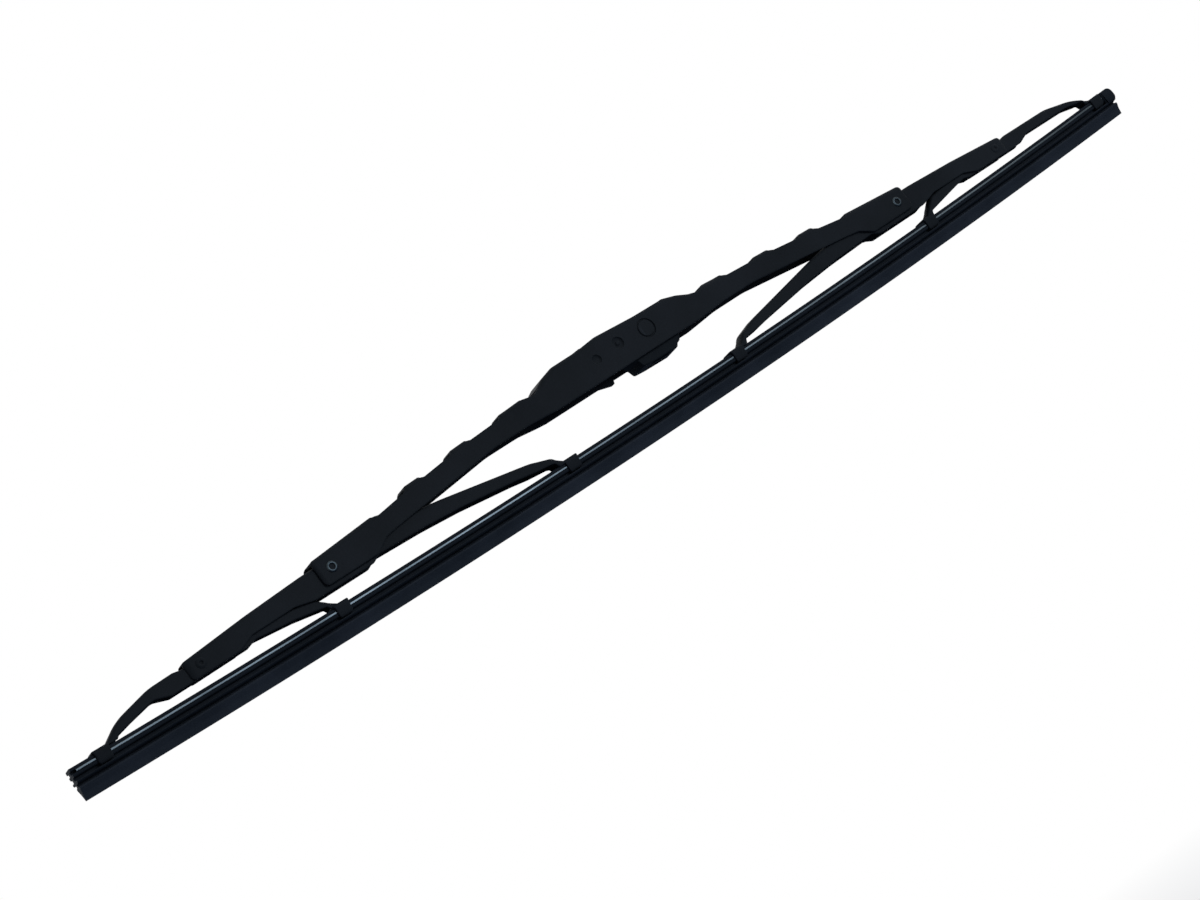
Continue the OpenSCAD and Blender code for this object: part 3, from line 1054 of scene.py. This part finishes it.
@dataclass
class Lever:
    """A lever pressed as a U-channel, with a claw at one or both ends."""

    name: str
    side: Side
    top: list[Corner]
    bottom: list[Corner]
    width: float
    thickness: float
    bend: float
    claws: list[float]
    inner_end: float
    outer_end: float
    end_corners: tuple[float, float] = (0.0, 0.0)
    end_curl: tuple[float, float] = (0.0, 0.0)
    inner_crown: tuple[float, float] = (0.0, 0.0)
    outer_crown: tuple[float, float] = (0.0, 0.0)
    foot_taper: float = 0.0

    @property
    def plan(self) -> list[Corner]:
        """Half of the width along the lever, with its inner foot drawn in."""
        half = self.width / 2
        slim = half - self.foot_taper
        foot = self.inner_end
        return [(foot, slim, 0), (foot + 3, slim, 6), (foot + 13, half, 20), (foot + 300, half, 0)]

    def build(self) -> bpy.types.Object:
        """Builds the lever for its own end of the blade."""
        channel = Channel(
            roof=Curve.from_corners(self.top),
            upper=Curve.from_corners(self.top),
            foot=Curve.from_corners(self.bottom),
            foot_far=Curve.from_corners(self.bottom),
            half_width=Curve.from_corners(self.plan),
            start=self.inner_end * STRETCH,
            end=self.outer_end * STRETCH,
            thickness=self.thickness,
            bend=self.bend,
            end_corners=self.end_corners,
            end_curl=self.end_curl,
            start_crown=self.inner_crown,
            end_crown=self.outer_crown,
            rim=0.3,
        )
        parts = [channel.solid()] + [Claw(x * STRETCH).solid() for x in self.claws]
        if self.side is Side.LEFT:
            parts = [
                ([Vector((-p.x, p.y, p.z)) for p in points], [f[::-1] for f in faces]) for points, faces in parts
            ]
        return joined(self.name, parts)


def secondary_lever(side: Side) -> Lever:
    """The secondary lever of one side.

    Args:
        side: Which end of the blade.

    Returns:
        The lever.
    """
    claw = 40.6
    nose = over_heel(claw, 0.6)
    top: list[Corner] = [
        (beside(claw, 2.4), nose, 1), (beside(claw, 6.8), nose + 4, 2.5), (54, -19.8, 20), (90, -12.75, 40),
        (112, -9.2, 20), (121, -8.85, 20), (147, -8.85, 20), (170, -9.9, 40), (196.7, -11.9, 0),
    ]
    bottom: list[Corner] = [
        (beside(claw, 3.0), nose - 0.9, 0), (beside(claw, 5.4), nose - 0.9, 0.3), (beside(claw, 6.3), nose + 0.9, 0.7),
        (beside(claw, 7.8), nose + 1.45, 2), (55.2, -23.8, 6), (62, -22.6, 15), (84, -19.7, 20), (100, -18.35, 15),
        (119.3, -17.5, 3), (123, -19.3, 2), (147, -19.1, 3), (154.5, -17.1, 6), (171.5, -17.1, 4), (178, -19.6, 2),
        (196.7, -19.6, 0),
    ]
    return Lever(
        name=f"secondary_pressing_{side.word}", side=side, top=top, bottom=bottom, width=8.4, thickness=1.0, bend=1.6,
        claws=[claw], inner_end=beside(claw, 3.0), outer_end=196.3, end_corners=(1.4, 1.8), end_curl=(2.8, 1.4),
        inner_crown=(16.0, 3.4), foot_taper=0.5,
    )


def tertiary_lever(side: Side) -> Lever:
    """The tertiary lever of one side; the two differ in the length of their arms.

    Args:
        side: Which end of the blade.

    Returns:
        The lever.
    """
    xi, xo, elbow, slot_end, under = (145.5, 247.6, -15.7, 4.8, (-18.9, -17.3))
    if side is Side.LEFT:
        xi, xo, elbow, slot_end, under = (140.6, 232.9, -16.05, 7.0, (-20.6, -19.0))
    top: list[Corner] = [
        (xi + 0.4, over_heel(xi, 0.95), 0.8), (xi + 7.4, -17.7, 2.5), (174, -13.8, 10), (178, -13.4, 5),
        (197.2, -13.4, 1), (200, -12.75, 2), (xo - 23.5, -12.85, 26), (xo - 9.4, elbow, 22),
        (xo - 2.4, over_heel(xo, 0.85), 0.8), (xo - 1.0, over_heel(xo, 0.85), 0),
    ]
    bottom: list[Corner] = [
        (xi + 0.9, over_heel(xi, 0.1), 0), (xi + 3.1, over_heel(xi, 0.1), 0.3), (xi + 4.0, -23.0, 0.9),
        (xi + 15.5, -20.7, 12), (171, -18.8, 2), (173.6, -19.65, 1.5), (204.2, -19.45, 2), (210, -17.2, 5),
        (xo - 14, under[1], 12), (beside(xo, -slot_end - 1.2), under[0], 1.1),
        (beside(xo, -slot_end), over_heel(xo - 4, 0.1), 0.3), (xo - 1.0, over_heel(xo, 0.1), 0),
    ]
    return Lever(
        name=f"tertiary_pressing_{side.word}", side=side, top=top, bottom=bottom, width=5.7, thickness=0.9, bend=1.3,
        claws=[xi, xo], inner_end=xi + 0.9, outer_end=xo - 1.1, inner_crown=(14.0, 2.6), outer_crown=(24.0, 2.4),
    )


@dataclass
class Rivets:
    """The hollow main rivets, the solid tertiary rivets and the cross pin."""

    main: Point = (136.4, -12.35)
    tertiary: Point = (191.0, -15.6)

    def main_rivet(self, side: Side) -> bpy.types.Object:
        """A hollow rivet whose rims are rolled over the bridge's walls."""
        hollow = 1.05
        rim = [
            (1.42 + 0.37 * math.cos(math.radians(a)), 5.82 + 0.36 * math.sin(math.radians(a)))
            for a in (180, 150, 120, 90)
        ]
        rim += [(1.8, 6.1), (2.05, 5.98), (2.2, 5.8), (2.2, 5.66), (1.5, 5.66)]
        profile = [(hollow, 5.5)] + rim + [(r, -y) for r, y in reversed(rim)] + [(hollow, -5.5)]
        shape = lathe(profile, side.value * self.main[0] * STRETCH, self.main[1])
        rivet = mesh_object(f"hollow_rivet_{side.word}", *shape, sharp=40)
        flip_if_inside_out(rivet)
        return rivet

    def tertiary_rivet(self, side: Side) -> bpy.types.Object:
        """A rivet with flat domed heads and a punch mark in each."""
        head = [
            (0, 4.16), (0.45, 4.18), (0.6, 4.5), (0.85, 4.7), (1.3, 4.7), (1.75, 4.55), (2.0, 4.3), (2.0, 4.16),
            (1.5, 4.16),
        ]
        profile = head + [(r, -y) for r, y in reversed(head)]
        shape = lathe(profile, side.value * self.tertiary[0] * STRETCH, self.tertiary[1])
        rivet = mesh_object(f"solid_rivet_{side.word}", *shape, sharp=40)
        flip_if_inside_out(rivet)
        return rivet

    def pin(self) -> bpy.types.Object:
        """The cross pin with its riveted-over ends in the hump's recesses."""
        end = [(0, 7.45), (0.5, 7.43), (0.75, 7.3), (0.9, 6.95), (1.3, 6.85), (1.5, 6.7), (1.5, 6.4), (2.4, 6.4)]
        profile = end + [(r, -y) for r, y in reversed(end)]
        pin = mesh_object("riveted_pin", *lathe(profile, 0, 0), sharp=40)
        flip_if_inside_out(pin)
        return pin


@dataclass
class Adapter:
    """The moulded adapter that clips on the pin and takes the arm's hook."""

    half: float = 5.5
    top: float = 3.4
    pocket: Point = (0.05, 2.9)

    def build(self) -> bpy.types.Object:
        """Builds the adapter with its pockets and pin bore."""
        corners: list[Corner] = [
            (-4.6, self.top, 1.5), (21.2, self.top, 1.5), (23.8, -9.6, 0.8), (22.6, -11.6, 0.8), (21.2, -12.1, 0.6),
            (20.2, -13.4, 0.8), (9, -13.1, 4), (4.2, -12.7, 1.2), (3.4, -10, 1.5), (1.5, -7.5, 2), (-5.2, -3, 3),
        ]
        shape = slab(rounded(along(corners), closed=True, steps=8), self.half, 0.5)
        adapter = mesh_object("adapter_moulding", *shape, sharp=35)
        flip_if_inside_out(adapter)
        tools = []
        for side in (-1, 1):
            mouth: list[Corner] = [(9.5, -15, 0), (19, -15, 0), (19, -5, 1), (9.5, -5, 1)]
            points, faces = slab(rounded(mouth, closed=True), 1.9, 0.3)
            shift = Vector((self.pocket[0], side * self.pocket[1], 0))
            tools.append(mesh_object("pocket", [p + shift for p in points], faces))
        tools.append(mesh_object("bore", *lathe([(0, -9), (2.45, -9), (2.45, 9), (0, 9)], 0, 0)))
        for tool in tools:
            flip_if_inside_out(tool)
        carve(adapter, tools, 35)
        return adapter


class StripPart(Enum):
    """The parts the strip is cut into, from left to right."""

    OUTER_LEFT = "outer_left"
    INNER_LEFT = "inner_left"
    MIDDLE = "middle"
    INNER_RIGHT = "inner_right"
    OUTER_RIGHT = "outer_right"


@dataclass
class Strip:
    """The rubber strip with its end stop and the two rails in its head."""

    start: float = -244.5 * STRETCH
    end: float = 257.65 * STRETCH
    stop_length: float = 6.45 * STRETCH
    stop_half: float = 3.45
    stop_edge: float = 0.9
    stop_cover: float = 1.3 * STRETCH
    secondary_claw: float = 40.6 * STRETCH
    left_claw: float = 140.6 * STRETCH
    right_claw: float = 145.5 * STRETCH
    lip_top: float = -6.4
    rail_inset: float = 2.0
    tongue: float = 1.3
    tongue_root: float = 0.4

    def spans(self) -> dict[StripPart, tuple[float, float]]:
        """Start and end of each part along the blade."""
        cuts = [
            self.start, -self.left_claw, -self.secondary_claw, self.secondary_claw, self.right_claw,
            self.end - self.stop_cover,
        ]
        return dict(zip(StripPart, zip(cuts, cuts[1:])))

    @staticmethod
    def rubber_profile() -> list[Point]:
        """Closed cross-section of the rubber as (y, z), with z down from the heel."""
        half: list[Corner] = [
            (0, 0, 0), (2.8, 0, 0.6), (2.8, -1.15, 0.12), (1.1, -1.15, 0), (1.1, -2.25, 0), (2.8, -2.25, 0.12),
            (2.65, -3.15, 0.35), (2.3, -3.45, 0.15), (1.0, -3.45, 0.2), (1.0, -4.6, 0.3), (3.25, -4.75, 0.2),
            (3.4, -5.2, 0.3), (2.9, -5.6, 0.3), (0.6, -6.0, 0.2), (0.6, -6.5, 0.15), (2.0, -6.8, 0.25),
            (2.1, -7.4, 0.5), (0.95, -9.4, 4), (0.35, -11.6, 0.6), (0.35, -11.9, 0.08), (0, -11.9, 0),
        ]
        right = rounded(half, steps=4)
        return right + [(-y, z) for y, z in reversed(right[1:-1])]

    @staticmethod
    def rail_profile(side: int) -> list[Point]:
        """Closed cross-section of one rail; side is -1 for the near one."""
        inner, outer = 1.15, 2.9
        corners: list[Corner] = [(inner, -1.18, 0.1), (outer, -1.18, 0.28), (outer, -2.22, 0.28), (inner, -2.22, 0.1)]
        return [(side * y, z) for y, z in rounded(corners, closed=True, steps=4)]

    @staticmethod
    def sweep(profile: list[Point], x0: float, x1: float, step: float = 4.0) -> tuple[list[Vector], list[list[int]]]:
        """Sweeps a cross-section along the heel's arc.

        Args:
            profile: Closed cross-section as (y, z), with z down from the heel.
            x0: Start along the blade.
            x1: End along the blade.
            step: Longest step.

        Returns:
            Points and faces of the closed solid.
        """
        steps = max(2, math.ceil((x1 - x0) / step))
        count = len(profile)
        points = []
        for i in range(steps + 1):
            angle = math.asin((x0 + (x1 - x0) * i / steps) / HEEL_RADIUS)
            for y, z in profile:
                reach = HEEL_RADIUS - z
                points.append(Vector((reach * math.sin(angle), y, HEEL_CENTRE - reach * math.cos(angle))))
        faces = [
            [i * count + k, i * count + (k + 1) % count, (i + 1) * count + (k + 1) % count, (i + 1) * count + k]
            for i in range(steps)
            for k in range(count)
        ]
        faces.append(list(range(count))[::-1])
        faces.append([steps * count + k for k in range(count)])
        return points, faces

    def end_stop(self) -> tuple[list[Vector], list[list[int]]]:
        """The moulded stop that closes the head over the rails' ends."""
        half = self.stop_length / 2
        middle = self.end - half
        outline = rounded([(-half, 0.75, 0.6), (half, 0.75, 2.4), (half, -5.7, 2.4), (-half, -5.7, 0.3)], closed=True)
        points, faces = slab(outline, self.stop_half, self.stop_edge)
        turn = Matrix.Rotation(-math.asin(middle / HEEL_RADIUS), 3, "Y")
        base = Vector((middle, 0, heel_z(middle)))
        return [base + turn @ p for p in points], faces

    def rubber(self, part: StripPart, x0: float, x1: float, finish: dict[str, bpy.types.Material]) -> bpy.types.Object:
        """Builds one part of the rubber, with its lip dusted.

        Args:
            part: Which part of the strip it is.
            x0: Start along the blade.
            x1: End along the blade.
            finish: Materials by name.

        Returns:
            The dressed part.
        """
        profile = self.rubber_profile()
        shells = [self.sweep(profile, x0, x1)]
        swept = len(shells[0][1]) - 2
        if part is StripPart.MIDDLE:
            # A slimmer tongue reaches into each neighbour, so that no gap opens at the lip where the strip bends.
            slim = [(y * 0.985, z * 0.995 - 0.03) for y, z in profile]
            shells.append(self.sweep(slim, x0 - self.tongue, x0 + self.tongue_root))
            shells.append(self.sweep(slim, x1 - self.tongue_root, x1 + self.tongue))
        if part is StripPart.OUTER_RIGHT:
            shells.append(self.end_stop())
        rubber = joined(f"squeegee_{part.value}", shells, 40)
        dress(rubber, finish["rubber"], "rubber")
        rubber.data.materials.append(finish["dusted"])
        following = profile[1:] + profile[:1]
        lip = [max(z, next_z) < self.lip_top for (_, z), (_, next_z) in zip(profile, following)]
        for face in rubber.data.polygons:
            if face.index < swept and lip[face.index % len(profile)]:
                face.material_index = 1
        return rubber

    def build(self, finish: dict[str, bpy.types.Material]) -> None:
        """Builds every part of the strip and hangs its middle and outer parts on their bodies.

        Args:
            finish: Materials by name.
        """
        rubbers: list[bpy.types.Object] = []
        rails: dict[int, list[bpy.types.Object]] = {-1: [], 1: []}
        for part, (x0, x1) in self.spans().items():
            rubber = self.rubber(part, x0, x1, finish)
            rubbers.append(rubber)
            # The rails start a little inside the rubber's cut end and stop just before the end stop.
            rail_start = x0 + self.rail_inset if part is StripPart.OUTER_LEFT else x0
            rail_end = min(x1, self.end - self.stop_length - 0.2)
            for side, word in ((-1, "front"), (1, "back")):
                shape = self.sweep(self.rail_profile(side), rail_start, rail_end)
                rail = joined(f"spring_{word}_{part.value}", [shape], 40)
                dress(rail, finish["spring"], "bare_steel")
                rails[side].append(rail)
            for piece in (rubber, rails[-1][-1], rails[1][-1]):
                flip_if_inside_out(piece)
                self.ride(piece, part)
        for piece in rubbers:
            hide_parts("wiper_rubber")
        for side, node in ((-1, "rail_front"), (1, "rail_back")):
            for piece in rails[side]:
                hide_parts(node)

    def ride(self, piece: bpy.types.Object, part: StripPart) -> None:
        """Hangs the middle piece of the strip on the strip's body and an outer piece on its tertiary lever; an inner
        piece only has its placement baked into its mesh.

        Args:
            piece: The piece.
            part: Which part of the strip it is.
        """
        if part is StripPart.MIDDLE:
            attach(piece, "strip")
        elif part is StripPart.OUTER_LEFT:
            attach(piece, "tertiary_left")
        elif part is StripPart.OUTER_RIGHT:
            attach(piece, "tertiary_right")
        elif part is StripPart.INNER_LEFT:
            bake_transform(piece)
        else:
            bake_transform(piece)


def dress(obj: bpy.types.Object, material: bpy.types.Material, slot: str) -> None:
    """Gives a piece its material.

    Args:
        obj: The piece.
        material: Its material.
        slot: Name of the piece's material slot; not used.
    """
    obj.data.materials.clear()
    obj.data.materials.append(material)


@dataclass
class Studio:
    """Camera, lamps, world and floor."""

    look_at: tuple[float, float, float] = (-30.2, 0.0, -29.6)
    yaw: float = 30.44
    pitch: float = 5.74
    roll: float = -36.80
    distance: float = 1008.0
    focal_px: float = 2679.0
    floor_z: float = -0.40

    def camera(self) -> None:
        """Puts the camera where the photograph was taken from."""
        yaw, pitch, roll = (math.radians(a) for a in (self.yaw, self.pitch, self.roll))
        forward = Vector((math.sin(yaw) * math.cos(pitch), math.cos(yaw) * math.cos(pitch), math.sin(pitch)))
        right = Vector((math.cos(yaw), -math.sin(yaw), 0))
        up = right.cross(forward)
        across = right * math.cos(roll) + up * math.sin(roll)
        upward = up * math.cos(roll) - right * math.sin(roll)
        place = (Vector(self.look_at) - forward * self.distance) * MM
        data = bpy.data.cameras.new("camera")
        data.sensor_width = 36.0
        data.lens = self.focal_px / 1200 * 36
        data.clip_start = 0.01
        data.clip_end = 50
        camera = bpy.data.objects.new("camera", data)
        turn = Matrix((across, upward, -forward)).transposed().to_4x4()
        camera.matrix_world = Matrix.Translation(place) @ turn
        bpy.context.scene.collection.objects.link(camera)
        bpy.context.scene.camera = camera

    @staticmethod
    def lamp(name: str, place: tuple[float, float, float], size: float, power: float) -> None:
        """Adds a square soft lamp that faces the blade.

        Args:
            name: Name of the lamp.
            place: Its place in metres.
            size: Its side in metres.
            power: Its power in watts.
        """
        data = bpy.data.lights.new(name, "AREA")
        data.size = size
        data.energy = power
        data.color = linear("#e2efff")[:3]
        lamp = bpy.data.objects.new(name, data)
        lamp.location = place
        lamp.rotation_euler = (-Vector(place)).to_track_quat("-Z", "Y").to_euler()
        bpy.context.scene.collection.objects.link(lamp)

    def world(self) -> None:
        """A soft, faintly blue sky that shows white to the camera and in reflections."""
        world = bpy.data.worlds.new("studio")
        bpy.context.scene.world = world
        world.use_nodes = True
        tree = world.node_tree
        tree.nodes.clear()
        path = add_node(tree, "LightPath").outputs
        direct = add_node(tree, "Math", {}, {0: path["Is Camera Ray"], 1: path["Is Glossy Ray"]}, operation="MAXIMUM")
        seen = add_node(tree, "Math", {}, {0: direct.outputs[0], 1: path["Is Transmission Ray"]}, operation="MAXIMUM")
        soft = add_node(tree, "Background", {"Color": linear("#d5e4ff"), "Strength": 0.2})
        white = add_node(tree, "Background", {"Color": linear("#ffffff"), "Strength": 1.0})
        mixed = add_node(tree, "MixShader", {}, {0: seen.outputs[0], 1: soft.outputs[0], 2: white.outputs[0]})
        add_node(tree, "OutputWorld", {}, {"Surface": mixed.outputs[0]})

    def floor(self) -> None:
        """A plain pale floor that keeps the blade's shadow and fades to white away from it."""
        size = 8.0
        mesh = bpy.data.meshes.new("floor")
        mesh.from_pydata([(-size, -size, 0), (size, -size, 0), (size, size, 0), (-size, size, 0)], [], [(0, 1, 2, 3)])
        floor = bpy.data.objects.new("floor", mesh)
        floor.location = (0, 0, self.floor_z)
        bpy.context.scene.collection.objects.link(floor)
        material = bpy.data.materials.new("pale_floor")
        material.use_nodes = True
        tree = material.node_tree
        tree.nodes.clear()
        path = add_node(tree, "LightPath").outputs
        place = add_node(tree, "TexCoord").outputs["Object"]
        away = add_node(tree, "VectorMath", {}, {0: place}, operation="LENGTH").outputs["Value"]
        fade = add_node(
            tree, "MapRange", {"From Min": 0.25, "From Max": 0.9, "To Min": 0.6, "To Max": 1.0}, {"Value": away}
        ).outputs["Result"]
        share = add_node(tree, "Math", {}, {0: fade, 1: path["Is Camera Ray"]}, operation="MULTIPLY").outputs[0]
        matt = add_node(tree, "BsdfDiffuse", {"Color": linear("#a3adbd")}).outputs[0]
        white = add_node(tree, "Emission", {"Color": linear("#ffffff")}).outputs[0]
        both = add_node(tree, "MixShader", {}, {0: share, 1: matt, 2: white}).outputs[0]
        add_node(tree, "OutputMaterial", {}, {"Surface": both})
        mesh.materials.append(material)

    def build(self) -> None:
        """Sets up the whole studio."""
        self.camera()
        self.world()
        self.floor()
        self.lamp("key", (0.6, -1.6, 0.25), 0.8, 10.5)
        self.lamp("top", (0.7, -0.3, 1.3), 0.9, 2.4)
        self.lamp("back", (-0.9, 1.1, 0.6), 0.9, 5.0)
        view = bpy.context.scene.view_settings
        view.view_transform = "Standard"


def main() -> None:
    """Builds the studio and every piece of the blade."""
    logging.basicConfig(level=logging.INFO, format="%(message)s")
    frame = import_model()
    Studio().build()
    finish = {
        "coat": POWDER_COAT.material(),
        "plated": PLATED_STEEL.material(),
        "spring": SPRING_STEEL.material(),
        "acetal": ACETAL.material(),
        "rubber": RUBBER.material(),
        "dusted": DUSTED_RUBBER.material(),
    }
    bridge = Bridge().build()
    dress(bridge, finish["coat"], "coated_steel")
    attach(bridge, "bridge")
    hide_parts("main_bridge")
    LOG.info("bridge: %d faces", len(bridge.data.polygons))
    rivets = Rivets()
    makers: list[tuple[Callable[[Side], bpy.types.Object], str, str, str, str]] = [
        (lambda s: secondary_lever(s).build(), "secondary_lever_", "secondary_", "coat", "coated_steel"),
        (lambda s: tertiary_lever(s).build(), "tertiary_lever_", "tertiary_", "coat", "coated_steel"),
        (rivets.main_rivet, "main_rivet_", "bridge", "plated", "bare_steel"),
        (rivets.tertiary_rivet, "tertiary_rivet_", "secondary_", "coat", "coated_steel"),
    ]
    for side in Side:
        for make, node, body, material, slot in makers:
            piece = make(side)
            dress(piece, finish[material], slot)
            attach(piece, body + side.word if body.endswith("_") else body)
            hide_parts(node + side.word)
            LOG.info("%s: %d faces", piece.name, len(piece.data.polygons))
    pin = rivets.pin()
    dress(pin, finish["coat"], "coated_steel")
    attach(pin, "bridge")
    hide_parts("cross_pin")
    adapter = Adapter().build()
    dress(adapter, finish["acetal"], "moulded_plastic")
    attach(adapter, "adapter")
    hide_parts("adapter")
    LOG.info("adapter: %d faces", len(adapter.data.polygons))
    Strip().build(finish)
    for name, node in frame["nodes"].items():
        if "liner" in name:
            for holder in node.material_slots:
                holder.material = finish["acetal"]
            LOG.info("%s: kept from the solids", name)
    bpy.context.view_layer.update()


if __name__ == "__main__":
    main()
